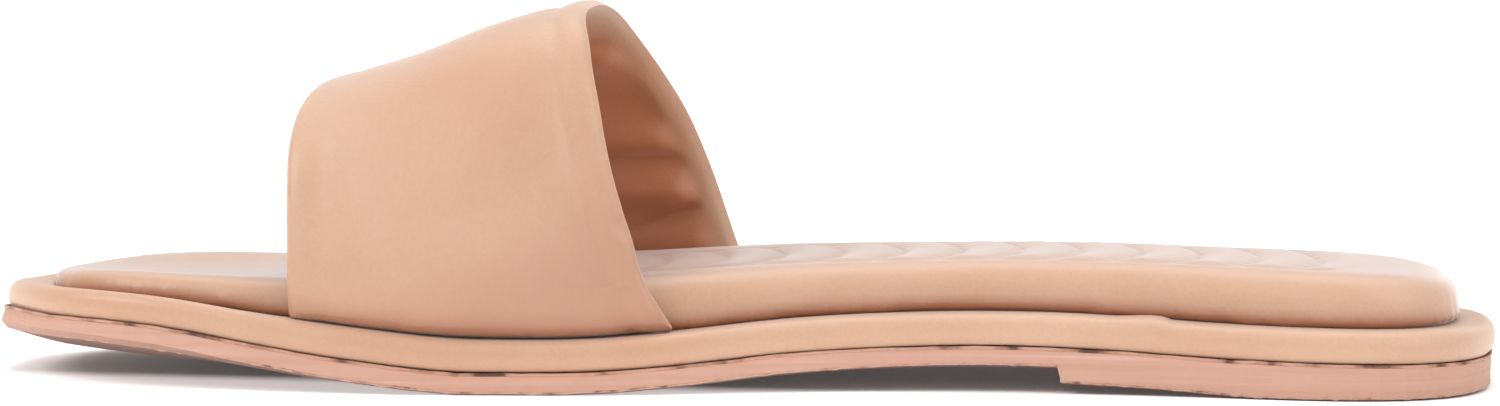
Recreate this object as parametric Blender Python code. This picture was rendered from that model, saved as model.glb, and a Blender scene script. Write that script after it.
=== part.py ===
# Slide sandal, right foot: outsole with a low heel, wrapped rand, padded footbed, padded strap.
# Metres, +Z up. The toe points to -X, the heel to +X, and the outer side of the foot is +Y.
# Every piece is drawn flat, as (station from the toe, sideways, height over the seam between
# outsole and rand), and is then bent to the last's side profile.
import functools
import math

import bmesh
import bpy
import numpy as np

# Driving sizes
LENGTH = 0.2560          # toe to heel, round the widest line of the rand
RAND_HEIGHT = 0.0057     # the wrapped platform
LEDGE = 0.0067           # from the rand's widest line in to the footbed's side
SOLE_INSET = 0.0008      # from the rand's widest line in to the outsole's wall
FIT_GAP = 0.0003         # between pieces that meet
BREAST = 0.1838          # station of the heel's front face
BREAST_RUN = 0.0006      # how far that face leans
STRAP_WALL = 0.0041      # padded strap, both skins and the foam
STRAP_SET = 0.0019       # from the rand's widest line in to the strap's outer skin
END_RUN = 0.030          # over which a piece is stretched or held back at the toe or the heel
RAND_ENDS = (0.0006, 0.0)        # how far each piece's toe and heel are moved towards the heel
FOOTBED_ENDS = (0.0006, 0.0006)

# Plan: a row for each station, as a share of LENGTH. half is half the rand's width and middle
# the sideways place of the centre line, towards the outer side of the foot, both in metres.
PLAN_COLUMNS = ("station", "half", "middle")
PLAN = (
    (0.00, 0.0390, -0.0034),
    (0.08, 0.0397, -0.0051),
    (0.18, 0.0429, -0.0040),
    (0.30, 0.0455, -0.0017),
    (0.40, 0.0446, 0.0001),
    (0.50, 0.0396, 0.0019),
    (0.60, 0.0342, 0.0034),
    (0.68, 0.0321, 0.0039),
    (0.78, 0.0324, 0.0025),
    (0.88, 0.0343, 0.0007),
    (1.00, 0.0358, -0.0005),
)
TOE_ROUND = 0.150        # share of the length over which the toe rounds off
TOE_POWER = 2.5          # over 2, how much squarer than an ellipse it is
HEEL_ROUND = 0.130
HEEL_POWER = 2.5

# Side profile: a row for each station, share of LENGTH, then metres. line is the height of the
# seam between outsole and rand, sole the outsole's thickness, pad the footbed's thickness,
# cup how far the sole curls up towards its edges, lean how far it is higher on the inner side
# at CUP_HALF, and soften the rounding of its lower edge.
CUP_HALF = 0.0356        # distance from the centre line at which cup and lean are read
CUP_POWER = 2.2
SIDE_COLUMNS = ("station", "line", "sole", "pad", "cup", "lean", "soften")
SIDE = (
    (0.000, 0.0104, 0.0034, 0.0043, 0.0042, 0.0020, 0.0009),
    (0.070, 0.0065, 0.0030, 0.0045, 0.0039, 0.0011, 0.0009),
    (0.130, 0.0057, 0.0034, 0.0047, 0.0032, 0.0006, 0.0008),
    (0.200, 0.0050, 0.0034, 0.0061, 0.0014, 0.0005, 0.0005),
    (0.270, 0.0044, 0.0034, 0.0074, 0.0002, 0.0003, 0.0003),
    (0.335, 0.0034, 0.0034, 0.0083, 0.0, 0.0, 0.0003),
    (0.400, 0.0034, 0.0034, 0.0089, 0.0, 0.0, 0.0003),
    (0.470, 0.0044, 0.0033, 0.0091, 0.0, 0.0, 0.0003),
    (0.540, 0.0063, 0.0032, 0.0084, 0.0, 0.0, 0.0003),
    (0.610, 0.0072, 0.0031, 0.0081, 0.0, 0.0, 0.0003),
    (0.670, 0.0075, 0.0031, 0.0083, 0.0, 0.0, 0.0003),
    (0.740, 0.0072, 0.0031, 0.0086, 0.0, 0.0, 0.0003),
    (0.820, 0.0062, 0.0031, 0.0090, 0.0, 0.0, 0.0003),
    (0.890, 0.0058, 0.0031, 0.0088, 0.0, 0.0, 0.0003),
    (1.000, 0.0055, 0.0031, 0.0072, 0.0, 0.0, 0.0004),
)

# Underside of the heel: share of LENGTH, height over the floor
HEEL_COLUMNS = ("station", "under")
HEEL = (
    (0.700, 0.0018),
    (0.780, 0.0010),
    (0.850, 0.0),
    (0.960, 0.0),
    (1.000, 0.0002),
)

# Strap edges: a row for each share of the way from its front edge to its rear edge. Stations in
# metres from the toe, at the foot on the inner (medial) side, over the instep and at the foot on
# the outer (lateral) side; top is the height of the middle of the wall over the floor, and
# square how square the arch is on its inner half (2 is an ellipse).
STRAP_COLUMNS = ("across", "medial", "instep", "lateral", "top", "square")
STRAP = (
    (0.00, 0.0564, 0.0566, 0.0580, 0.0482, 3.4),
    (0.35, 0.0787, 0.0732, 0.0812, 0.0528, 3.7),
    (0.70, 0.1015, 0.0895, 0.1045, 0.0592, 4.0),
    (1.00, 0.1204, 0.1028, 0.1245, 0.0626, 4.0),
)
INSTEP_SHIFT = -0.0050   # the instep's ridge lies towards the inner side
LATERAL_POWER = 2.4
MEDIAL_PULL = 1.45       # over 1 where the edges leave the foot early for the instep's station
LATERAL_PULL = 0.82

# Edges: a row for each share of the rise from the strap's foot to the instep, and how far the
# edge is moved back there, in metres: the front one on the inner side, the rear one on both.
TRIM_COLUMNS = ("rise", "front", "medial", "lateral")
TRIM = (
    (0.00, 0.0, 0.0, 0.0),
    (0.06, 0.0, -0.0008, 0.0),
    (0.13, 0.0, -0.0013, 0.0),
    (0.20, 0.0, -0.0011, 0.0),
    (0.30, -0.0001, -0.0002, 0.0002),
    (0.45, -0.0004, 0.0002, 0.0005),
    (0.60, -0.0007, 0.0009, 0.0006),
    (0.75, -0.0010, 0.0016, -0.0001),
    (0.88, -0.0008, 0.0016, -0.0007),
    (1.00, 0.0, 0.0, 0.0),
)

# How finely the pieces are faceted
SIDE_STEPS = 46
LADDER_STEPS = 6
ARCH_STEPS = 50
ARCH_CROWDING = 0.8      # how much closer the strap's sections are at its feet than in between
EDGE_STEPS = 5
BAND_STEPS = 8


def read(rows, columns, column, at):
    """One column of a table at a station: a monotone cubic, flat where two rows are equal."""
    xs = [row[0] for row in rows]
    ys = [row[columns.index(column)] for row in rows]
    last = len(xs) - 1
    at = min(max(at, xs[0]), xs[last])
    k = min(max(i for i in range(last) if xs[i] <= at), last - 1)
    rises = [(ys[i + 1] - ys[i]) / (xs[i + 1] - xs[i]) for i in range(last)]

    def tangent(i):
        if i in (0, last):
            return rises[0] if i == 0 else rises[-1]
        before, after = rises[i - 1], rises[i]
        if before * after <= 0:
            return 0.0
        return 2 * before * after / (before + after)

    run = xs[k + 1] - xs[k]
    t = (at - xs[k]) / run
    return (
        (2 * t**3 - 3 * t**2 + 1) * ys[k]
        + (t**3 - 2 * t**2 + t) * run * tangent(k)
        + (3 * t**2 - 2 * t**3) * ys[k + 1]
        + (t**3 - t**2) * run * tangent(k + 1)
    )


def side(column, station):
    return read(SIDE, SIDE_COLUMNS, column, station / LENGTH)


# Plan outlines
def round_off(share, power):
    """Superellipse end: 0 at the tip, 1 where the end's rounding is over."""
    share = min(max(share, 0.0), 1.0)
    return (1 - (1 - share) ** power) ** (1 / power)


def half_width(share):
    body = read(PLAN, PLAN_COLUMNS, "half", share)
    toe = round_off(share / TOE_ROUND, TOE_POWER)
    heel = round_off((1 - share) / HEEL_ROUND, HEEL_POWER)
    return body * toe * heel


def stations():
    """Shares of the length, closer together at both ends, with two for the heel's front face."""
    even = [(1 - math.cos(math.pi * i / SIDE_STEPS)) / 2 for i in range(SIDE_STEPS + 1)]
    face = [(BREAST - BREAST_RUN / 2) / LENGTH, (BREAST + BREAST_RUN / 2) / LENGTH]
    clear = 0.009
    kept = [s for s in even if min(abs(s - f) for f in face) > clear]
    return sorted(kept + face)


@functools.lru_cache(maxsize=None)
def outline(inset):
    """Closed plan line, from the toe along the inner side to the heel and back, set in by inset."""
    shares = stations()
    rows = [(s, half_width(s), read(PLAN, PLAN_COLUMNS, "middle", s)) for s in shares]
    there = [(s * LENGTH, middle - half) for s, half, middle in rows]
    back = [(s * LENGTH, middle + half) for s, half, middle in rows[-2:0:-1]]
    line = np.array(there + back)
    along = np.roll(line, -1, axis=0) - np.roll(line, 1, axis=0)
    inward = np.stack([-along[:, 1], along[:, 0]], axis=1)
    inward /= np.linalg.norm(inward, axis=1, keepdims=True)
    return line + inset * inward


def edge_side(station, inset, outer_side):
    """Sideways place of the set-in outline at a station, on the inner or the outer side."""
    line = outline(inset)
    heel = len(stations()) - 1
    half = np.vstack([line[heel:], line[:1]])[::-1] if outer_side else line[: heel + 1]
    return float(np.interp(station, half[:, 0], half[:, 1]))


# Bending a flat point to the side profile
def seam(station, sideways):
    """Height of the outsole's seam over the floor, with the sole's curl towards its edges."""
    share = station / LENGTH
    middle = read(PLAN, PLAN_COLUMNS, "middle", share)
    out = (sideways - middle) / CUP_HALF
    cup = side("cup", station) * min(abs(out), 1.3) ** CUP_POWER
    return side("line", station) + cup - side("lean", station) * out


def bend(station, sideways, height):
    """A point given flat, moved to its place on the shoe."""
    step = 0.0005
    slope = (seam(station + step, sideways) - seam(station - step, sideways)) / (2 * step)
    length = math.hypot(1.0, slope)
    return (
        station - height * slope / length,
        sideways,
        seam(station, sideways) + height / length,
    )


def underside(station, sideways):
    """The outsole's lower face: the thin sole, or behind its front face the heel."""
    if station > BREAST:
        return station, sideways, read(HEEL, HEEL_COLUMNS, "under", station / LENGTH)
    return bend(station, sideways, -side("sole", station))


# Meshes
def mesh_object(name, mesh_bm, material):
    bmesh.ops.recalc_face_normals(mesh_bm, faces=mesh_bm.faces)
    mesh = bpy.data.meshes.new(name)
    mesh_bm.to_mesh(mesh)
    mesh_bm.free()
    mesh.shade_smooth()
    mesh.set_sharp_from_angle(angle=math.radians(50))
    mesh.materials.append(material)
    made = bpy.data.objects.new(name, mesh)
    bpy.context.scene.collection.objects.link(made)
    return made


def ladder(mesh_bm, ring, place):
    """Closes a ring of the plan with rungs from the inner to the outer side."""
    heel = len(stations()) - 1
    rows = []
    for i in range(1, heel):
        start, end = ring[i], ring[len(ring) - i]
        rung = [start]
        for k in range(1, LADDER_STEPS):
            share = k / LADDER_STEPS
            rung.append(mesh_bm.verts.new(place(i, share)))
        rows.append(rung + [end])
    for low, high in zip(rows, rows[1:]):
        for k in range(LADDER_STEPS):
            mesh_bm.faces.new((low[k], high[k], high[k + 1], low[k + 1]))
    for tip, rung in ((ring[0], rows[0]), (ring[heel], rows[-1])):
        for k in range(LADDER_STEPS):
            mesh_bm.faces.new((tip, rung[k], rung[k + 1]))


def between(line, i, share):
    """Plan point on the rung from point i of a plan line to its partner on the other side."""
    return line[i] + (line[len(line) - i] - line[i]) * share


def stack(name, material, levels, floor_place, roof_place):
    """A solid from plan rings, lowest first. A level is (inset, function from plan to place)."""
    made = bmesh.new()
    rings = []
    for inset, place in levels:
        rings.append([made.verts.new(place(*point)) for point in outline(inset)])
    for low, high in zip(rings, rings[1:]):
        for i in range(len(low)):
            j = (i + 1) % len(low)
            made.faces.new((low[i], low[j], high[j], high[i]))
    first, last = outline(levels[0][0]), outline(levels[-1][0])
    ladder(made, rings[0], lambda i, share: floor_place(*between(first, i, share)))
    ladder(made, rings[-1], lambda i, share: roof_place(*between(last, i, share)))
    return mesh_object(name, made, material)


def ended(ends, place):
    """place, with the piece's toe and heel moved towards the heel by the two numbers of ends."""
    toe, heel = ends

    def moved(station, sideways):
        near_toe = max(0.0, 1 - station / END_RUN) ** 2
        near_heel = max(0.0, 1 - (LENGTH - station) / END_RUN) ** 2
        return place(station + toe * near_toe + heel * near_heel, sideways)

    return moved


def at_height(height, ends=(0.0, 0.0)):
    return ended(ends, lambda station, sideways: bend(station, sideways, height))


# Pieces
def make_outsole(material):
    def softened(station, sideways):
        x, y, z = underside(station, sideways)
        return x, y, z + side("soften", station)

    top_gap = -FIT_GAP / 2
    levels = (
        (SOLE_INSET + 0.0012, underside),
        (SOLE_INSET + 0.0002, softened),
        (SOLE_INSET, at_height(top_gap)),
    )
    return stack("outsole", material, levels, underside, at_height(top_gap))


def make_rand(material):
    """Wrapped platform: its wall is a half-round bulge, its top is flat."""
    radius = RAND_HEIGHT / 2
    low = FIT_GAP / 2
    levels = [(0.0017, at_height(low, RAND_ENDS))]
    for degrees in (-50, -25, 0, 22, 42, 62, 78):
        turn = math.radians(degrees)
        inset = radius * (1 - math.cos(turn) ** 0.8)
        levels.append((inset, at_height(radius * (1 + math.sin(turn)), RAND_ENDS)))
    floor, roof = at_height(low, RAND_ENDS), at_height(RAND_HEIGHT, RAND_ENDS)
    levels.append((radius * 1.25, roof))
    return stack("rand", material, levels, floor, roof)


def make_footbed(material):
    """Padded footbed: puffed side, rounded shoulder, a top that is flat from side to side."""
    foot = RAND_HEIGHT + FIT_GAP

    def at_share(share):
        return ended(FOOTBED_ENDS, lambda station, sideways: bend(
            station, sideways, foot + share * side("pad", station)
        ))

    levels = (
        (LEDGE + 0.0007, at_share(0.0)),
        (LEDGE + 0.0001, at_share(0.16)),
        (LEDGE, at_share(0.34)),
        (LEDGE + 0.0003, at_share(0.56)),
        (LEDGE + 0.0011, at_share(0.76)),
        (LEDGE + 0.0024, at_share(0.90)),
        (LEDGE + 0.0044, at_share(0.98)),
        (LEDGE + 0.0070, at_share(1.0)),
    )
    return stack("footbed", material, levels, at_share(0.0), at_share(1.0))


def strap_middle(around, across):
    """Middle of the strap's wall. around: 0 inner foot, 1 outer foot; across: 0 front, 1 rear."""
    outer_side = around > 0.5
    foot_column = "lateral" if outer_side else "medial"
    foot_station = read(STRAP, STRAP_COLUMNS, foot_column, across)
    inset = STRAP_SET + STRAP_WALL / 2
    foot_side = edge_side(foot_station, inset, outer_side)
    foot_height = bend(foot_station, foot_side, RAND_HEIGHT + FIT_GAP)[2]
    top = read(STRAP, STRAP_COLUMNS, "top", across)
    power = LATERAL_POWER if outer_side else read(STRAP, STRAP_COLUMNS, "square", across)
    pull = LATERAL_PULL if outer_side else MEDIAL_PULL
    turn = math.pi * around
    reach = abs(math.cos(turn)) ** (2 / power)
    rise = abs(math.sin(turn)) ** (2 / power)
    instep = read(STRAP, STRAP_COLUMNS, "instep", across)
    trim = across ** 2 * read(TRIM, TRIM_COLUMNS, foot_column, rise)
    if not outer_side:
        trim += (1 - across) ** 2 * read(TRIM, TRIM_COLUMNS, "front", rise)
    return np.array((
        foot_station + (instep - foot_station) * (1 - (1 - rise) ** pull) + trim,
        INSTEP_SHIFT + (foot_side - INSTEP_SHIFT) * reach,
        foot_height + (top - foot_height) * rise,
    ))


def strap_out(around, across):
    """Unit normal of the strap's wall, pointing out of the arch."""
    step = 0.002
    a0, a1 = max(around - step, 0.0), min(around + step, 1.0)
    c0, c1 = max(across - step, 0.0), min(across + step, 1.0)
    over = strap_middle(a1, across) - strap_middle(a0, across)
    back = strap_middle(around, c1) - strap_middle(around, c0)
    out = np.cross(over, back)
    return -out / np.linalg.norm(out)


def band_loop(width):
    """Section of the padded band: (distance from the front edge, distance out of its middle)."""
    radius = STRAP_WALL / 2
    loop = []
    for k in range(BAND_STEPS + 1):
        loop.append((radius + (width - 2 * radius) * k / BAND_STEPS, radius))
    for k in range(1, EDGE_STEPS):
        turn = math.pi * k / EDGE_STEPS
        loop.append((width - radius + radius * math.sin(turn), radius * math.cos(turn)))
    for k in range(BAND_STEPS, -1, -1):
        loop.append((radius + (width - 2 * radius) * k / BAND_STEPS, -radius))
    for k in range(1, EDGE_STEPS):
        turn = math.pi * k / EDGE_STEPS
        loop.append((radius - radius * math.sin(turn), -radius * math.cos(turn)))
    return loop


def make_upper(material):
    """One padded band, lasted down to the rand on both sides, open in front and behind."""
    made = bmesh.new()
    rings = []
    for i in range(ARCH_STEPS + 1):
        turn = 2 * math.pi * i / ARCH_STEPS
        around = (turn - ARCH_CROWDING * math.sin(turn)) / (2 * math.pi)
        span = strap_middle(around, 1.0) - strap_middle(around, 0.0)
        width = float(np.linalg.norm(span))
        ring = []
        for across_at, out_by in band_loop(width):
            across = across_at / width
            x, y, z = strap_middle(around, across) + out_by * strap_out(around, across)
            rests_at = bend(x, y, RAND_HEIGHT + FIT_GAP)[2]
            ring.append(made.verts.new((x, y, max(z, rests_at))))
        rings.append(ring)
    for low, high in zip(rings, rings[1:]):
        for i in range(len(low)):
            j = (i + 1) % len(low)
            made.faces.new((low[i], low[j], high[j], high[i]))
    for ring in (rings[0], rings[-1]):
        outer = ring[: BAND_STEPS + 1]
        rear = ring[BAND_STEPS + 1: BAND_STEPS + EDGE_STEPS]
        inner = ring[BAND_STEPS + EDGE_STEPS: 2 * BAND_STEPS + EDGE_STEPS + 1][::-1]
        front = ring[2 * BAND_STEPS + EDGE_STEPS + 1:]
        for k in range(BAND_STEPS):
            made.faces.new((outer[k], outer[k + 1], inner[k + 1], inner[k]))
        made.faces.new([outer[-1], *rear, inner[-1]])
        made.faces.new([inner[0], *front, outer[0]])
    return mesh_object("upper", made, material)


def leather(name, colour, roughness):
    material = bpy.data.materials.new(name)
    material.use_nodes = True
    shader = material.node_tree.nodes["Principled BSDF"]
    shader.inputs["Base Color"].default_value = (*colour, 1.0)
    shader.inputs["Roughness"].default_value = roughness
    shader.inputs["Metallic"].default_value = 0.0
    return material


def centre_on_floor(objects):
    """Moves every mesh so that the middle of the shoe's lowest face is the origin."""
    points = np.array([v.co for made in objects for v in made.data.vertices])
    low, high = points.min(axis=0), points.max(axis=0)
    shift = ((low[0] + high[0]) / 2, (low[1] + high[1]) / 2, low[2])
    for made in objects:
        for vertex in made.data.vertices:
            vertex.co.x -= shift[0]
            vertex.co.y -= shift[1]
            vertex.co.z -= shift[2]


def main():
    for old in list(bpy.data.objects):
        bpy.data.objects.remove(old, do_unlink=True)
    made = [
        make_outsole(leather("moulded_rubber", (0.62, 0.38, 0.28), 0.6)),
        make_rand(leather("wrap_leather", (0.72, 0.47, 0.33), 0.45)),
        make_footbed(leather("footbed_leather", (0.72, 0.47, 0.33), 0.45)),
        make_upper(leather("strap_leather", (0.73, 0.49, 0.35), 0.42)),
    ]
    centre_on_floor(made)


main()
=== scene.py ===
# Flat padded slide: the looks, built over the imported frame.
# Metres, +Z up, toe at -X, heel at +X, inner side of the foot at -Y.
import math
import bpy
import numpy as np
from mathutils import Matrix, Vector, noise
from mathutils.kdtree import KDTree


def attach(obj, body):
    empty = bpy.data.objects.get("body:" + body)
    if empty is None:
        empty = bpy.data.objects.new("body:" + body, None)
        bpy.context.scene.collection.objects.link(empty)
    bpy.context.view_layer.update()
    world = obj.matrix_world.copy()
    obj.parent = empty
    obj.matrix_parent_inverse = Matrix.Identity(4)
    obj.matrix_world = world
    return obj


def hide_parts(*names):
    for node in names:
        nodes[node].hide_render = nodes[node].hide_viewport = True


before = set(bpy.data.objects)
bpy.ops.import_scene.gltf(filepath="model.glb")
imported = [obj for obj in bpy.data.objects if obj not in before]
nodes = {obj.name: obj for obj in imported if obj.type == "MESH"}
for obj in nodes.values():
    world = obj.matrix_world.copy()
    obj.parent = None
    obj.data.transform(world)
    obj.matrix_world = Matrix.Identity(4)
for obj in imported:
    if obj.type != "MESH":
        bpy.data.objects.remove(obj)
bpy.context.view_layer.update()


shot = {
    "aim": (0.0, 0.0012, 0.030),
    "turn": 7.0,              # degrees from square on, towards the heel
    "rise": 4.05,             # degrees above level
    "roll": 0.187,
    "distance": 1.05,
    "widthSeen": 0.25743,     # across the frame, at the aim
    "shift": (0.00164, -0.00267),
    "sensorWidth": 36,
    "clip": (0.05, 60),
}


def placeCamera(look):
    data = bpy.data.cameras.new("camera")
    data.sensor_width = look["sensorWidth"]
    data.lens = look["sensorWidth"] * look["distance"] / look["widthSeen"]
    data.shift_x, data.shift_y = look["shift"]
    data.clip_start, data.clip_end = look["clip"]
    camera = bpy.data.objects.new("camera", data)
    bpy.context.scene.collection.objects.link(camera)
    turn, rise = math.radians(look["turn"]), math.radians(look["rise"])
    level = math.cos(rise)
    back = Vector((math.sin(turn) * level, -math.cos(turn) * level, math.sin(rise)))
    camera.location = Vector(look["aim"]) + back * look["distance"]
    facing = back.to_track_quat("Z", "Y").to_matrix().to_4x4()
    facing = facing @ Matrix.Rotation(math.radians(look["roll"]), 4, "Z")
    camera.rotation_euler = facing.to_euler()
    bpy.context.scene.camera = camera


def scaledNode(tree, value, fromLow, fromHigh, toLow, toHigh):
    node = tree.nodes.new("ShaderNodeMapRange")
    limits = {"From Min": fromLow, "From Max": fromHigh, "To Min": toLow, "To Max": toHigh}
    for name, limit in limits.items():
        node.inputs[name].default_value = limit
    tree.links.new(value, node.inputs["Value"])
    return node.outputs["Result"]


def feed(tree, socket, value):
    # a socket takes another node's output or a plain value
    if hasattr(value, "links"):
        tree.links.new(value, socket)
    else:
        socket.default_value = value


def mathNode(tree, way, *values):
    node = tree.nodes.new("ShaderNodeMath")
    node.operation = way
    for socket, value in zip(node.inputs, values):
        feed(tree, socket, value)
    return node.outputs["Value"]


studio = {
    # white surround: its strength when level, half way up and overhead, and where it changes
    "airSweep": 1.05, "airSide": 0.48, "airTop": 1.42,
    "sweepBand": (0.12, 0.34),
    "overBand": (0.25, 1.0),
    "floorWidth": 80.0,
    "floorCuts": 3,
    "floorTone": (0.985, 0.965, 0.962),
    "floorGloss": (0.9, 0.1),          # roughness, specular
    "floorGlow": 0.05,                 # the sweep is lit a little from under
    "shadowLiftGlow": 0.45,                 # painted light: more glow in a strip in front of the shoe, lifting its shadow there
    "glowTone": (1, 0.99, 1),
    # the strip leans a little towards the shoe at its toe, and ends before the camera
    "shadowLiftStrip": {"lean": 0.08, "from": -0.022, "full": -0.032, "fade": -0.048, "gone": -0.068},
    "lampAim": (0, 0, 0.03),
    # name, place, size, watts, colour
    "lamps": (
        ("lampToe", (-0.90, -0.75, 0.85), 0.55, 9.0, (1.0, 0.99, 0.98)),
        ("lampHeel", (1.00, -0.45, 0.70), 0.60, 4.5, (1.0, 0.99, 0.99)),
        ("lampOver", (0.05, 0.35, 1.25), 0.90, 5.0, (1.0, 1.0, 1.0)),
    ),
}


def lightStudio(look):
    scene = bpy.context.scene
    scene.view_settings.view_transform = "Standard"
    scene.view_settings.look = "None"
    surround = bpy.data.worlds.new("surround")
    surround.use_nodes = True
    tree = surround.node_tree
    upward = tree.nodes.new("ShaderNodeSeparateXYZ")
    tree.links.new(tree.nodes.new("ShaderNodeTexCoord").outputs["Generated"], upward.inputs["Vector"])
    extra = look["airSweep"] - look["airSide"]
    sweep = scaledNode(tree, upward.outputs["Z"], *look["sweepBand"], extra, 0.0)
    over = scaledNode(tree, upward.outputs["Z"], *look["overBand"], look["airSide"], look["airTop"])
    air = tree.nodes["Background"]
    air.inputs["Color"].default_value = (1, 1, 1, 1)
    tree.links.new(mathNode(tree, "ADD", sweep, over), air.inputs["Strength"])
    scene.world = surround
    for name, place, size, watts, colour in look["lamps"]:
        data = bpy.data.lights.new(name, "AREA")
        data.size, data.energy, data.color = size, watts, colour
        lamp = bpy.data.objects.new(name, data)
        lamp.location = place
        away = Vector(place) - Vector(look["lampAim"])
        lamp.rotation_euler = away.to_track_quat("Z", "Y").to_euler()
        scene.collection.objects.link(lamp)


def layFloor(look):
    bpy.ops.object.select_all(action="DESELECT")
    bpy.ops.mesh.primitive_plane_add(size=look["floorWidth"], location=(0, 0, 0))
    floor = bpy.context.active_object
    floor.name = "paperFloor"
    bpy.ops.object.mode_set(mode="EDIT")
    bpy.ops.mesh.subdivide(number_cuts=look["floorCuts"])
    bpy.ops.object.mode_set(mode="OBJECT")
    paper = bpy.data.materials.new("paper")
    paper.use_nodes = True
    shader = paper.node_tree.nodes["Principled BSDF"]
    shader.inputs["Base Color"].default_value = (*look["floorTone"], 1)
    shader.inputs["Roughness"].default_value = look["floorGloss"][0]
    shader.inputs["Specular IOR Level"].default_value = look["floorGloss"][1]
    shader.inputs["Emission Color"].default_value = (*look["glowTone"], 1)
    tree, strip = paper.node_tree, look["shadowLiftStrip"]
    place = tree.nodes.new("ShaderNodeSeparateXYZ")
    tree.links.new(tree.nodes.new("ShaderNodeTexCoord").outputs["Object"], place.inputs["Vector"])
    # painted light: glow in a strip in front of the shoe, where it lifts the shoe's shadow
    slanted = mathNode(tree, "MULTIPLY_ADD", place.outputs["X"], strip["lean"], place.outputs["Y"])
    extra = look["shadowLiftGlow"] - look["floorGlow"]
    near = scaledNode(tree, slanted, strip["from"], strip["full"], 0.0, extra)
    far = scaledNode(tree, place.outputs["Y"], strip["fade"], strip["gone"], 1.0, 0.0)
    glow = mathNode(tree, "MULTIPLY_ADD", near, far, look["floorGlow"])
    tree.links.new(glow, shader.inputs["Emission Strength"])
    floor.data.materials.append(paper)


placeCamera(shot)
lightStudio(studio)
layFloor(studio)
print("camera, lamps and floor are in place")


def linear(red, green, blue):
    # a colour as a paint chart gives it, 0 to 255, for a shader socket
    made = []
    for value in (red, green, blue):
        value /= 255
        made.append(value / 12.92 if value <= 0.04045 else ((value + 0.055) / 1.055) ** 2.4)
    return (*made, 1.0)


def freshMaterial(name):
    made = bpy.data.materials.new(name)
    made.use_nodes = True
    tree = made.node_tree
    return made, tree, tree.nodes["Principled BSDF"]


def noiseNode(tree, where, scale, detail=2.0, stretch=None, roughness=0.5):
    node = tree.nodes.new("ShaderNodeTexNoise")
    node.inputs["Scale"].default_value = scale
    node.inputs["Detail"].default_value = detail
    node.inputs["Roughness"].default_value = roughness
    if stretch:
        mapping = tree.nodes.new("ShaderNodeMapping")
        mapping.inputs["Scale"].default_value = stretch
        tree.links.new(where, mapping.inputs["Vector"])
        where = mapping.outputs["Vector"]
    tree.links.new(where, node.inputs["Vector"])
    return node


def rampNode(tree, value, stops):
    ramp = tree.nodes.new("ShaderNodeValToRGB")
    entries = ramp.color_ramp.elements
    entries[0].position, entries[0].color = stops[0]
    entries[1].position, entries[1].color = stops[-1]
    for place, colour in stops[1:-1]:
        entries.new(place).color = colour
    tree.links.new(value, ramp.inputs["Fac"])
    return ramp


def mixNode(tree, share, low, high, way="MIX"):
    mix = tree.nodes.new("ShaderNodeMix")
    mix.data_type, mix.blend_type = "RGBA", way
    for name, value in (("Factor", share), ("A", low), ("B", high)):
        feed(tree, mix.inputs[name], value)
    return mix.outputs["Result"]


def bumpNode(tree, height, distance, strength=1.0, under=None):
    bump = tree.nodes.new("ShaderNodeBump")
    bump.inputs["Distance"].default_value = distance
    bump.inputs["Strength"].default_value = strength
    tree.links.new(height, bump.inputs["Height"])
    if under:
        tree.links.new(under, bump.inputs["Normal"])
    return bump.outputs["Normal"]


leatherLook = {
    "tone": (177, 141, 115),
    "warmTone": (175, 134, 107),
    "paleTone": (183, 149, 125),
    "patchScale": 26,        # slow colour drift, about 4 cm
    "toneStops": (0.30, 0.52, 0.75),   # warm, plain and pale along that drift
    "poreScale": 1500,       # pressed grain, 0.6 mm
    "poreDepth": 0.000035,
    "poreSmoothness": 0.6,
    "poreTones": (0.0, 0.7, 0.97, 1.015),   # from and to distance, shade in a pore and between
    "fineScale": 5200,
    "fineDepth": 0.00001,
    "crinkleScale": 120,     # faint waviness of the coated skin
    "crinkleDepth": 0.00005,
    "gloss": (0.3, 0.7, 0.40, 0.52),   # from and to drift, roughness there
    "sheen": (0.34, 0.45),             # weight, roughness
    "sheenTone": (1.0, 0.93, 0.89),
    "coat": (0.10, 0.35),              # weight, roughness
    "depthOfSkin": (0.16, 0.0022),     # light that soaks in: share, distance
    "soakSpread": (1.0, 0.45, 0.25),   # red goes furthest
}


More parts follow.
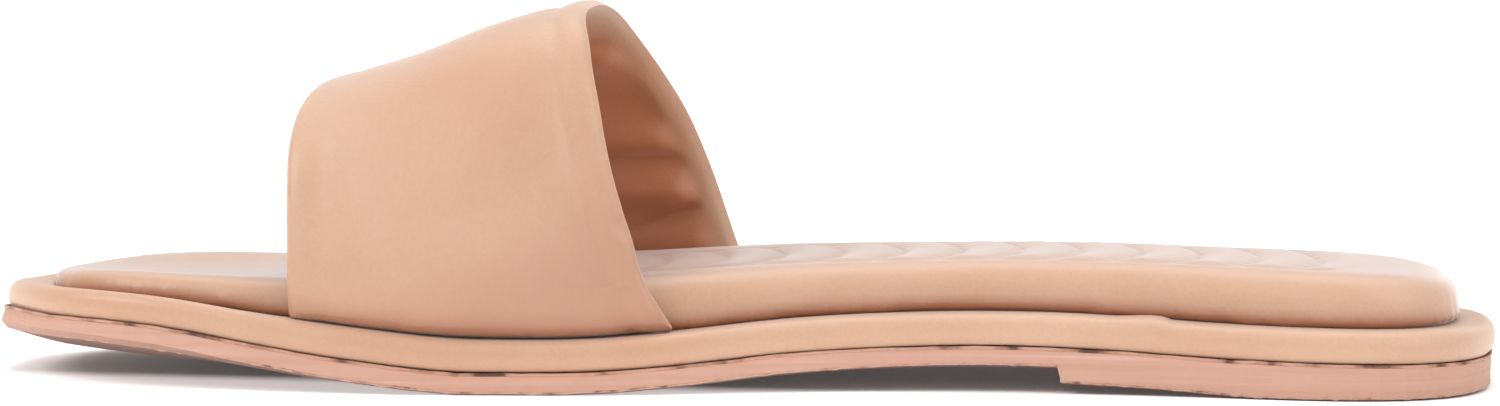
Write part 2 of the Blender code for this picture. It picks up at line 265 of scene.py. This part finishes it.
def makeLeather(name, look, paintedLight=()):
    # coated soft leather: slow colour drift, pressed pores, a faint waviness and a soft sheen
    made, tree, shader = freshMaterial(name)
    where = tree.nodes.new("ShaderNodeTexCoord").outputs["Object"]
    drift = noiseNode(tree, where, look["patchScale"], 3.0)
    painted = [linear(*look[name]) for name in ("warmTone", "tone", "paleTone")]
    tones = rampNode(tree, drift.outputs["Fac"], tuple(zip(look["toneStops"], painted)))
    pores = tree.nodes.new("ShaderNodeTexVoronoi")
    pores.feature = "SMOOTH_F1"
    pores.inputs["Scale"].default_value = look["poreScale"]
    pores.inputs["Smoothness"].default_value = look["poreSmoothness"]
    tree.links.new(where, pores.inputs["Vector"])
    fine = noiseNode(tree, where, look["fineScale"], 2.0)
    crinkle = noiseNode(tree, where, look["crinkleScale"], 2.0)
    poreTone = scaledNode(tree, pores.outputs["Distance"], *look["poreTones"])
    toned = mixNode(tree, 1.0, tones.outputs["Color"], poreTone, "MULTIPLY")
    for attribute, tone in paintedLight:     # a painted attribute: 0 untouched, 1 in that tone; these carry painted shade and a painted reflection
        mark = tree.nodes.new("ShaderNodeAttribute")
        mark.attribute_name = attribute
        toned = mixNode(tree, mark.outputs["Fac"], toned, linear(*tone))
    tree.links.new(toned, shader.inputs["Base Color"])
    normal = bumpNode(tree, crinkle.outputs["Fac"], look["crinkleDepth"])
    normal = bumpNode(tree, pores.outputs["Distance"], look["poreDepth"], under=normal)
    normal = bumpNode(tree, fine.outputs["Fac"], look["fineDepth"], under=normal)
    tree.links.new(normal, shader.inputs["Normal"])
    roughness = scaledNode(tree, drift.outputs["Fac"], *look["gloss"])
    tree.links.new(roughness, shader.inputs["Roughness"])
    fixed = {
        "Subsurface Weight": look["depthOfSkin"][0],
        "Subsurface Scale": look["depthOfSkin"][1],
        "Subsurface Radius": look["soakSpread"],
        "Sheen Weight": look["sheen"][0],
        "Sheen Roughness": look["sheen"][1],
        "Sheen Tint": (*look["sheenTone"], 1),
        "Coat Weight": look["coat"][0],
        "Coat Roughness": look["coat"][1],
    }
    for name, value in fixed.items():
        shader.inputs[name].default_value = value
    if "glancing" in look:             # shines more when it is seen edge on
        fromFacing, toFacing, most = look["glancing"]
        edgeOn = tree.nodes.new("ShaderNodeLayerWeight").outputs["Facing"]
        gloss = scaledNode(tree, edgeOn, fromFacing, toFacing, look["coat"][0], most)
        tree.links.new(gloss, shader.inputs["Coat Weight"])
    return made


rubberLook = {
    "tone": (172, 132, 113),
    "rubbed": (181, 143, 126),
    "dusty": (196, 162, 148),
    "toneStops": (0.32, 0.60, 0.78),
    "blotch": (170, 128, 109),
    "blotchScale": 55,
    "blotchShare": (0.35, 0.70, 0.0, 0.35),   # from and to noise, share of the blotch there
    "under": (114, 82, 71),
    "underBand": (-0.85, -0.55),       # a face turned down further than this is tread
    "lineStretch": (14, 14, 900),   # fine lines along the wall
    "lineDepth": 0.00006,
    "crumbScale": 900,
    "crumbDepth": 0.00007,
    "treadScale": 700,
    "treadDepth": 0.0004,
    "gloss": (0.3, 0.7, 0.55, 0.75),
}


def makeRubber(name, look):
    # moulded wall with buffing lines, and a crumbly tread under it, painted darker where its faces turn
    # down
    made, tree, shader = freshMaterial(name)
    where = tree.nodes.new("ShaderNodeTexCoord").outputs["Object"]
    lines = noiseNode(tree, where, 1.0, 4.0, stretch=look["lineStretch"], roughness=0.6)
    crumb = noiseNode(tree, where, look["crumbScale"], 3.0)
    blotch = noiseNode(tree, where, look["blotchScale"], 3.0)
    tread = tree.nodes.new("ShaderNodeTexVoronoi")
    tread.inputs["Scale"].default_value = look["treadScale"]
    tree.links.new(where, tread.inputs["Vector"])
    facing = tree.nodes.new("ShaderNodeSeparateXYZ")
    tree.links.new(tree.nodes.new("ShaderNodeNewGeometry").outputs["Normal"], facing.inputs["Vector"])
    below = scaledNode(tree, facing.outputs["Z"], *look["underBand"], 1.0, 0.0)
    tones = [linear(*look[name]) for name in ("tone", "rubbed", "dusty")]
    wall = rampNode(tree, lines.outputs["Fac"], tuple(zip(look["toneStops"], tones)))
    share = scaledNode(tree, blotch.outputs["Fac"], *look["blotchShare"])
    spotted = mixNode(tree, share, wall.outputs["Color"], linear(*look["blotch"]))
    soled = mixNode(tree, below, spotted, linear(*look["under"]))
    tree.links.new(soled, shader.inputs["Base Color"])
    normal = bumpNode(tree, lines.outputs["Fac"], look["lineDepth"])
    normal = bumpNode(tree, crumb.outputs["Fac"], look["crumbDepth"], under=normal)
    treadHeight = mathNode(tree, "MULTIPLY", tread.outputs["Distance"], below)
    normal = bumpNode(tree, treadHeight, look["treadDepth"], under=normal)
    tree.links.new(normal, shader.inputs["Normal"])
    roughness = scaledNode(tree, crumb.outputs["Fac"], *look["gloss"])
    tree.links.new(roughness, shader.inputs["Roughness"])
    return made


def onlyThis(piece):
    bpy.ops.object.select_all(action="DESELECT")
    piece.select_set(True)
    bpy.context.view_layer.objects.active = piece


joining = {"weld": 0.00002, "quadAngle": math.radians(60)}


def copyOfNode(nodeName, pieceName):
    # its own mesh, merged into one skin of four-sided faces
    piece = bpy.data.objects.new(pieceName, nodes[nodeName].data.copy())
    bpy.context.scene.collection.objects.link(piece)
    piece.data.materials.clear()
    onlyThis(piece)
    bpy.ops.mesh.customdata_custom_splitnormals_clear()
    bpy.ops.object.mode_set(mode="EDIT")
    bpy.ops.mesh.select_all(action="SELECT")
    bpy.ops.mesh.remove_doubles(threshold=joining["weld"])
    bpy.ops.mesh.mark_sharp(clear=True)
    angle = joining["quadAngle"]
    bpy.ops.mesh.tris_convert_to_quads(face_threshold=angle, shape_threshold=angle)
    bpy.ops.object.mode_set(mode="OBJECT")
    return piece


def applied(piece, kind, **values):
    onlyThis(piece)
    modifier = piece.modifiers.new(kind.lower(), kind)
    for name, value in values.items():
        setattr(modifier, name, value)
    bpy.ops.object.modifier_apply(modifier=modifier.name)


def placesAndNormals(mesh):
    count = len(mesh.vertices)
    place, out = np.empty(count * 3), np.empty(count * 3)
    mesh.vertices.foreach_get("co", place)
    mesh.vertex_normals.foreach_get("vector", out)
    return place.reshape(-1, 3), out.reshape(-1, 3)


def setPlaces(mesh, place):
    mesh.vertices.foreach_set("co", np.ascontiguousarray(place).ravel())
    mesh.update()


def bell(distance, width):
    return np.exp(-(distance / width) ** 2)


def easy(value, low, high):
    # 0 below low, 1 above high, smooth between
    share = np.clip((value - low) / (high - low), 0, 1)
    return share * share * (3 - 2 * share)


def awayFromLine(points, line):
    # distance of two-column points from a line of corners, and how far along it they are
    best = np.full(len(points), np.inf)
    along = np.zeros(len(points))
    corners = np.array(line, float)
    for k, (a, b) in enumerate(zip(corners, corners[1:])):
        run = b - a
        share = np.clip(((points - a) @ run) / (run @ run), 0, 1)
        gap = np.linalg.norm(points - (a + share[:, None] * run), axis=1)
        closer = gap < best
        best[closer] = gap[closer]
        along[closer] = (k + share[closer]) / (len(corners) - 1)
    return best, along


def waviness(places, scale, seed):
    # gentle unevenness of hand-lasted leather, from -1 to 1;
    # each seed looks at another part of the noise
    shift = Vector((seed * 3.1, seed * 7.7, seed * 1.3))
    return np.array([noise.noise(Vector(p) * scale + shift) for p in places])


def paint(piece, name, values):
    layer = piece.data.attributes.new(name, "FLOAT", "POINT")
    layer.data.foreach_set("value", np.ascontiguousarray(values, dtype=float))


facesDown = -0.9       # the z of a normal that counts as underside


def heightOverLowest(place, out, under=1.0):
    # how far each point is over the piece's own underside, straight below it;
    # under keeps to the underside that lies lower than this
    low = np.nonzero((out[:, 2] < facesDown) & (place[:, 2] < under))[0]
    tree = KDTree(len(low))
    for k in low:
        tree.insert((place[k, 0], place[k, 1], 0), int(k))
    tree.balance()
    return np.array([p[2] - place[tree.find((p[0], p[1], 0))[1], 2] for p in place])


def finishPiece(piece, material, node):
    piece.data.materials.append(material)
    onlyThis(piece)
    bpy.ops.object.shade_smooth()
    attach(piece, "root")
    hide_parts(node)


# pairs of numbers are where a smooth change starts and ends
strap = {
    "levels": 3,
    "archMiddle": (-0.005, 0.018),     # y and z that the band turns round
    "slots": 60,                       # steps round the band in which its edges are looked up
    "turnsOut": (-0.30, 0.30),         # from the lining to the outside, by how far a point faces out
    "ridge": {"in": 0.0062, "width": 0.0016, "depth": 0.00055},   # channel that makes the rear roll
    "frontRidge": {"in": 0.0056, "width": 0.0018, "depth": 0.00016},
    "wave": (26, 0.00040),
    "waveFront": (0.004, 0.014),       # the waves stay this far from the edges
    "waveRear": (0.006, 0.016),
    "swell": 0.00012,                  # the skin stands this far out, so that its rolls keep their size
    "insideShadeTone": (180, 119, 86),      # painted shade: the lining inside the band, walled in from the light, is painted deeper
    "insideShadeReach": (0.0010, 0.0075),
    # creases and swells: side of the band, line of (x, z), half width, depth (a swell is negative)
    "folds": (
        ("farInside", ((-0.034, 0.0545), (-0.026, 0.0555), (-0.020, 0.0575)), 0.0014, 0.0010),
        ("farInside", ((-0.034, 0.0520), (-0.026, 0.0530), (-0.019, 0.0525)), 0.0024, -0.0009),
        ("farInside", ((-0.034, 0.0445), (-0.022, 0.0440), (-0.013, 0.0445)), 0.0044, 0.0017),
        ("farInside", ((-0.034, 0.0375), (-0.020, 0.0385), (-0.010, 0.0385)), 0.0026, -0.0012),
        ("farInside", ((-0.034, 0.0335), (-0.018, 0.0340), (-0.007, 0.0345)), 0.0017, 0.0014),
        ("farInside", ((-0.032, 0.0280), (-0.016, 0.0290), (-0.005, 0.0300)), 0.0028, -0.0015),
        ("farInside", ((-0.024, 0.0215), (-0.013, 0.0260), (-0.006, 0.0265)), 0.0015, 0.0017),
        ("farInside", ((-0.022, 0.0175), (-0.012, 0.0195), (-0.004, 0.0200)), 0.0024, -0.0008),
        ("nearOutside", ((-0.0150, 0.0310), (-0.0165, 0.0285), (-0.0150, 0.0255)), 0.0011, 0.0006),
        ("nearOutside", ((-0.0120, 0.0300), (-0.0135, 0.0275), (-0.0120, 0.0245)), 0.0012, -0.0005),
        ("nearOutside", ((-0.072, 0.031), (-0.052, 0.043), (-0.034, 0.052)), 0.0075, 0.0008),
        ("nearOutside", ((-0.066, 0.020), (-0.044, 0.030), (-0.024, 0.043)), 0.0085, -0.0008),
    ),
    "foldFar": (-0.004, 0.006),        # inside folds are on the far wall only
    "foldFront": (0.004, 0.010),       # and die out towards both edges
    "foldRear": (0.0035, 0.0075),
    "foldNear": -0.015,                # outside folds are on this side of y
    # the lining turns out to the rear roll, further in at the top and less on the near side
    "flare": {
        "run": 0.0095, "depth": 0.0021, "topRun": 0.0060, "topDepth": 0.0004, "nearShare": 0.35,
        "top": (0.044, 0.058), "foot": (0.012, 0.020), "lining": (-0.9, 0.9), "far": (-0.034, -0.012),
    },
    # the outside turns under at the foot, and the feet press on the wrap; shade is painted shade in the
    # crease over them
    "foot": {
        "below": 0.034, "soleBelow": 0.028, "reach": (0.0, 0.0070), "tuck": 0.0005,
        "sitsBelow": 0.022, "facesDown": -0.7, "press": 0.00040,
        "shade": 0.5, "shadeReach": (0.0002, 0.0045),
    },
    # painted shade in the crease where the strap's foot tucks onto the wrap
    "footShadeTone": (146, 86, 58),
    # painted shade: the near side is painted a little deeper low down at the back, past a border in x
    # and z, where less light falls
    "nearLowShade": {
        "at": (-0.040, 0.022), "run": (0.84, 0.54), "spread": (-0.006, 0.012), "share": 0.55,
        "near": (-0.035, -0.015),
    },
    "nearLowShadeTone": (160, 114, 92),
}


def bandPlaces(place, out):
    # the way out from the arch's middle, the gaps to the front and rear edges,
    # and how far a point faces out
    y0, z0 = strap["archMiddle"]
    aroundArch = np.arctan2(place[:, 2] - z0, place[:, 1] - y0)
    radial = np.stack([np.zeros(len(place)), place[:, 1] - y0, place[:, 2] - z0], axis=1)
    radial /= np.linalg.norm(radial, axis=1)[:, None]
    facing = np.einsum("ij,ij->i", out, radial)
    marks = np.linspace(aroundArch.min(), aroundArch.max(), strap["slots"] + 1)
    slot = np.clip(np.digitize(aroundArch, marks), 1, strap["slots"])
    middles, front, rear = [], [], []
    for k in np.unique(slot):
        middles.append((marks[k] + marks[k - 1]) / 2)
        front.append(place[slot == k, 0].min())
        rear.append(place[slot == k, 0].max())
    frontX = np.interp(aroundArch, middles, front)
    rearX = np.interp(aroundArch, middles, rear)
    return radial, place[:, 0] - frontX, rearX - place[:, 0], facing


def makeStrap():
    piece = copyOfNode("upper", "strap")
    applied(piece, "SUBSURF", levels=strap["levels"], render_levels=strap["levels"])
    place, out = placesAndNormals(piece.data)
    radial, frontGap, rearGap, facing = bandPlaces(place, out)
    outside = easy(facing, *strap["turnsOut"])
    move = np.zeros(len(place))
    for edge, gap in (("ridge", rearGap), ("frontRidge", frontGap)):
        look = strap[edge]
        move -= look["depth"] * bell(gap - look["in"], look["width"]) * outside
    scale, depth = strap["wave"]
    wide = easy(frontGap, *strap["waveFront"]) * easy(rearGap, *strap["waveRear"])
    move += depth * waviness(place, scale, 1) * wide

    onFarWall = (1 - outside) * easy(place[:, 1], *strap["foldFar"])
    onFarWall *= easy(rearGap, *strap["foldRear"]) * easy(frontGap, *strap["foldFront"])
    onNearWall = outside * (place[:, 1] < strap["foldNear"])
    for side, line, width, fall in strap["folds"]:
        gap, along = awayFromLine(place[:, [0, 2]], line)
        ends = np.sqrt(np.sin(np.pi * np.clip(along, 0.02, 0.98)))   # dies out at both ends
        there = onFarWall if side == "farInside" else onNearWall
        move -= fall * bell(gap, width) * ends * there

    flare = strap["flare"]
    high = easy(place[:, 2], *flare["top"])
    turned = np.clip(1 - rearGap / (flare["run"] + flare["topRun"] * high), 0, 1) ** 2
    turned *= (1 - easy(facing, *flare["lining"])) * easy(place[:, 2], *flare["foot"])
    turned *= flare["nearShare"] + (1 - flare["nearShare"]) * easy(place[:, 1], *flare["far"])
    turned *= flare["depth"] + flare["topDepth"] * high

    foot = strap["foot"]
    standing = heightOverLowest(place, out, foot["soleBelow"])
    atFoot = (place[:, 2] < foot["below"]) * outside
    move -= foot["tuck"] * (1 - easy(standing, *foot["reach"])) * atFoot
    move += strap["swell"]
    place = place + out * move[:, None] + radial * turned[:, None]
    sits = (out[:, 2] < foot["facesDown"]) & (place[:, 2] < foot["sitsBelow"])
    place[sits, 2] -= foot["press"]
    setPlaces(piece.data, place)

    nearLowShade = strap["nearLowShade"]
    fromBorder = (place[:, [0, 2]] - nearLowShade["at"]) @ (nearLowShade["run"][1], -nearLowShade["run"][0])
    nearSide = outside * (1 - easy(place[:, 1], *nearLowShade["near"]))
    fromEdge = np.minimum(frontGap, rearGap)
    # painted shade low on the foot, fading upward
    paint(piece, "footShade", foot["shade"] * (1 - easy(standing, *foot["shadeReach"])) * atFoot)
    # painted shade low at the back of the near side
    paint(piece, "nearLowShade", nearLowShade["share"] * easy(fromBorder, *nearLowShade["spread"]) * nearSide)
    # painted shade on the lining inside the band, fading out near its edges
    paint(piece, "insideShade", (1 - outside) * easy(fromEdge, *strap["insideShadeReach"]))
    leather = makeLeather("strapLeather", leatherLook, (
        ("insideShade", strap["insideShadeTone"]),
        ("nearLowShade", strap["nearLowShadeTone"]),
        ("footShade", strap["footShadeTone"])))
    finishPiece(piece, leather, "upper")


makeStrap()
print("strap is lasted over its arch")


footbed = {
    # smoother skin; glancing is from and to facing, and the coat when seen edge on
    "skin": {"sheen": (0.70, 0.28), "sheenTone": (0.98, 0.97, 1.0), "coat": (0.15, 0.40),
             "glancing": (0.72, 0.95, 0.85)},
    "footShadeTone": (146, 86, 58),         # painted shade, dark and warm where it meets the wrap
    "footShadeShare": 0.75,
    "topReflectionTone": (181, 149, 129),        # painted reflection: the top, which shines when seen edge on, is painted a touch paler and greyer than the sides
    "topReflectionShare": 0.7,
    "topFaces": (0.55, 0.85),          # by the z of its normal
    "voxel": 0.0011,
    "smoothing": 12,
    "wave": (24, 0.00022),
    "waveOver": (0.002, 0.006),        # its underside stays flat
    # pressed ribs: first and last station in x, spacing, half width and how far they bow
    "ribs": {
        "from": -0.014, "to": 0.105, "pitch": 0.0102, "half": 0.0190, "bow": 0.0050,
        "ends": 0.0015, "sides": (-0.003, 0.0005),
        "depth": 0.0009, "roundness": 0.6, "level": 0.75,   # pillow shape, and the height that stays put
        "line": 0.0013, "lineShare": 0.3,                   # groove along both sides
    },
    # its lower edge is pressed on the wrap
    "foot": {"down": 0.00060, "out": 0.00080, "reach": 0.0026, "shadeReach": (0.0004, 0.0028)},
    # its sideways middle, by station
    "middleX": (-0.12, -0.05, 0.0, 0.04, 0.08, 0.12),
    "middleY": (-0.004, -0.002, 0.002, 0.005, 0.003, 0.0),
}


def ribRelief(place, ribs):
    # height of the pressed ribs at each point, as seen from above
    x = place[:, 0]
    y = place[:, 1] - np.interp(x, footbed["middleX"], footbed["middleY"])
    bowed = x + ribs["bow"] * (y / ribs["half"]) ** 2
    step = (bowed - ribs["from"]) / ribs["pitch"]
    toGroove = np.abs(step - np.round(step)) * ribs["pitch"]
    ends = ribs["ends"]
    inside = easy(bowed, ribs["from"] - ends, ribs["from"] + ends)
    inside *= 1 - easy(bowed, ribs["to"] - ends, ribs["to"] + ends)
    across = 1 - easy(np.abs(y), ribs["half"] + ribs["sides"][0], ribs["half"] + ribs["sides"][1])
    rim = bell(np.abs(y) - ribs["half"], ribs["line"])
    crown = 1 - (2 * toGroove / ribs["pitch"] - 1) ** 2
    pillow = (crown ** ribs["roundness"] - ribs["level"]) * across
    return ribs["depth"] * inside * (pillow - ribs["lineShare"] * rim)


def makeFootbed():
    piece = copyOfNode("footbed", "footbedPad")
    applied(piece, "REMESH", mode="VOXEL", voxel_size=footbed["voxel"], use_smooth_shade=True)
    applied(piece, "SMOOTH", factor=0.5, iterations=footbed["smoothing"])
    place, out = placesAndNormals(piece.data)
    onTop = easy(out[:, 2], *footbed["topFaces"])
    move = ribRelief(place, footbed["ribs"]) * onTop
    scale, depth = footbed["wave"]
    overLowest = place[:, 2] - place[:, 2].min()
    move += depth * waviness(place, scale, 4) * easy(overLowest, *footbed["waveOver"])
    foot = footbed["foot"]
    standing = heightOverLowest(place, out)
    low = 1 - easy(standing, 0.0, foot["reach"])
    level = out * np.array([1, 1, 0])
    place = place + out * move[:, None] + level * (foot["out"] * low)[:, None]
    place[:, 2] -= foot["down"] * low
    setPlaces(piece.data, place)
    # painted shade along the lower edge, where it meets the wrap
    paint(piece, "footShade", footbed["footShadeShare"] * (1 - easy(standing, *foot["shadeReach"])))
    # painted reflection on the top faces
    paint(piece, "topReflection", footbed["topReflectionShare"] * onTop)
    leather = makeLeather("footbedLeather", dict(leatherLook, **footbed["skin"]), (
        ("topReflection", footbed["topReflectionTone"]),
        ("footShade", footbed["footShadeTone"])))
    finishPiece(piece, leather, "footbed")


makeFootbed()
print("footbed is padded and pressed")


rand = {
    "levels": 2,
    "wave": (34, 0.00012),
    # the wrap is lapped on the inner side: it stands up just in front of x and drops behind it
    "lap": {
        "x": 0.0722, "rise": 0.00055, "run": 0.0085, "crest": 0.001, "drop": 0.0016,
        "faces": (-0.2, 0.7),
    },
}


def makeRand():
    piece = copyOfNode("rand", "randWrap")
    applied(piece, "SUBSURF", levels=rand["levels"], render_levels=rand["levels"])
    place, out = placesAndNormals(piece.data)
    scale, depth = rand["wave"]
    move = depth * waviness(place, scale, 7)
    lap = rand["lap"]
    x = place[:, 0]
    lapped = easy(x, lap["x"] - lap["run"], lap["x"] - lap["crest"])
    lapped *= 1 - easy(x, lap["x"], lap["x"] + lap["drop"])
    move += lap["rise"] * lapped * (place[:, 1] < 0) * easy(out[:, 2], *lap["faces"])
    setPlaces(piece.data, place + out * move[:, None])
    finishPiece(piece, makeLeather("wrapLeather", leatherLook), "rand")


makeRand()
print("rand is wrapped")


# what squeezes out over the outsole, and the rough trimmed edge under it;
# facing and other bound the z of the normals of the two faces that meet at the rim
# the glue is a real bead; its darkest dashes also stand for painted shade in the joint between wrap and
# outsole
glueAndJointShade = {
    "name": "glueAndJointShade", "facing": (0.8, 2.0), "other": (-0.6, 0.6),
    "thick": 0.00030, "in": 0.00010, "up": 0.00026, "rough": (420, 0.00010),
    "tones": ((0.46, (176, 132, 112)), (0.57, (150, 106, 86)), (0.66, (84, 50, 38))), "dashes": 190,
}
trimmedEdge = {
    "name": "trimmedEdge", "facing": (-2.0, -0.8), "other": (-0.79, 0.6),
    "thick": 0.00020, "in": 0.00008, "up": 0.00020, "rough": (900, 0.00027),
    "tones": ((0.46, (176, 138, 120)), (0.58, (160, 120, 104)), (0.68, (112, 78, 66))), "dashes": 420,
}
bothRims = {
    "cuts": 5,
    "lengthwise": 0.35,      # inward leans this little along the shoe
    "roughInward": 0.5,      # unevenness sideways, as a share of that up and down
    "bumpDepth": 0.0002,
    "gloss": (0.3, 0.7, 0.45, 0.75),
}


def makeRim(look):
    # the chosen rim of the outsole, kept as a line, roughened and given a thickness
    piece = copyOfNode("outsole", look["name"])
    sides = {}
    for face in piece.data.polygons:
        for pair in face.edge_keys:
            sides.setdefault(pair, []).append(face.normal.z)
    onlyThis(piece)
    bpy.ops.object.mode_set(mode="EDIT")
    bpy.ops.mesh.select_mode(type="EDGE")
    bpy.ops.mesh.select_all(action="DESELECT")
    bpy.ops.object.mode_set(mode="OBJECT")
    (faceLow, faceHigh), (otherLow, otherHigh) = look["facing"], look["other"]
    for edge in piece.data.edges:
        tilts = sides.get(tuple(sorted(edge.vertices)), [])
        if len(tilts) == 2:
            for one, two in (tilts, tilts[::-1]):
                if faceLow < one < faceHigh and otherLow < two < otherHigh:
                    edge.select = True
    bpy.ops.object.mode_set(mode="EDIT")
    bpy.ops.mesh.select_all(action="INVERT")
    bpy.ops.mesh.delete(type="EDGE_FACE")
    bpy.ops.mesh.select_all(action="SELECT")
    bpy.ops.mesh.subdivide(number_cuts=bothRims["cuts"])
    bpy.ops.object.mode_set(mode="OBJECT")
    scale, depth = look["rough"]
    for vertex in piece.data.vertices:
        inward = Vector((-bothRims["lengthwise"] * vertex.co.x, -vertex.co.y, 0)).normalized()
        uneven = depth * noise.noise(vertex.co * scale)
        vertex.co += inward * (look["in"] + bothRims["roughInward"] * uneven)
        vertex.co.z = max(vertex.co.z + look["up"] + uneven, look["thick"])
    onlyThis(piece)
    bpy.ops.object.convert(target="CURVE")
    piece.data.bevel_depth = look["thick"]
    piece.data.bevel_resolution = 1
    bpy.ops.object.convert(target="MESH")
    made, tree, shader = freshMaterial(look["name"])
    where = tree.nodes.new("ShaderNodeTexCoord").outputs["Object"]
    dashes = noiseNode(tree, where, look["dashes"], 3.0)
    uneven = dashes.outputs["Fac"]
    tone = rampNode(tree, uneven, tuple((at, linear(*colour)) for at, colour in look["tones"]))
    tree.links.new(tone.outputs["Color"], shader.inputs["Base Color"])
    tree.links.new(bumpNode(tree, uneven, bothRims["bumpDepth"]), shader.inputs["Normal"])
    roughness = scaledNode(tree, uneven, *bothRims["gloss"])
    tree.links.new(roughness, shader.inputs["Roughness"])
    piece.data.materials.append(made)
    onlyThis(piece)
    bpy.ops.object.shade_smooth()
    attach(piece, "root")
    return piece


for look in (glueAndJointShade, trimmedEdge):
    made = makeRim(look)
    print(look["name"], "is laid,", len(made.data.polygons), "faces")


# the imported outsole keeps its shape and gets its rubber
nodes["outsole"].material_slots[0].material = makeRubber("mouldedRubber", rubberLook)
print("outsole has its rubber")
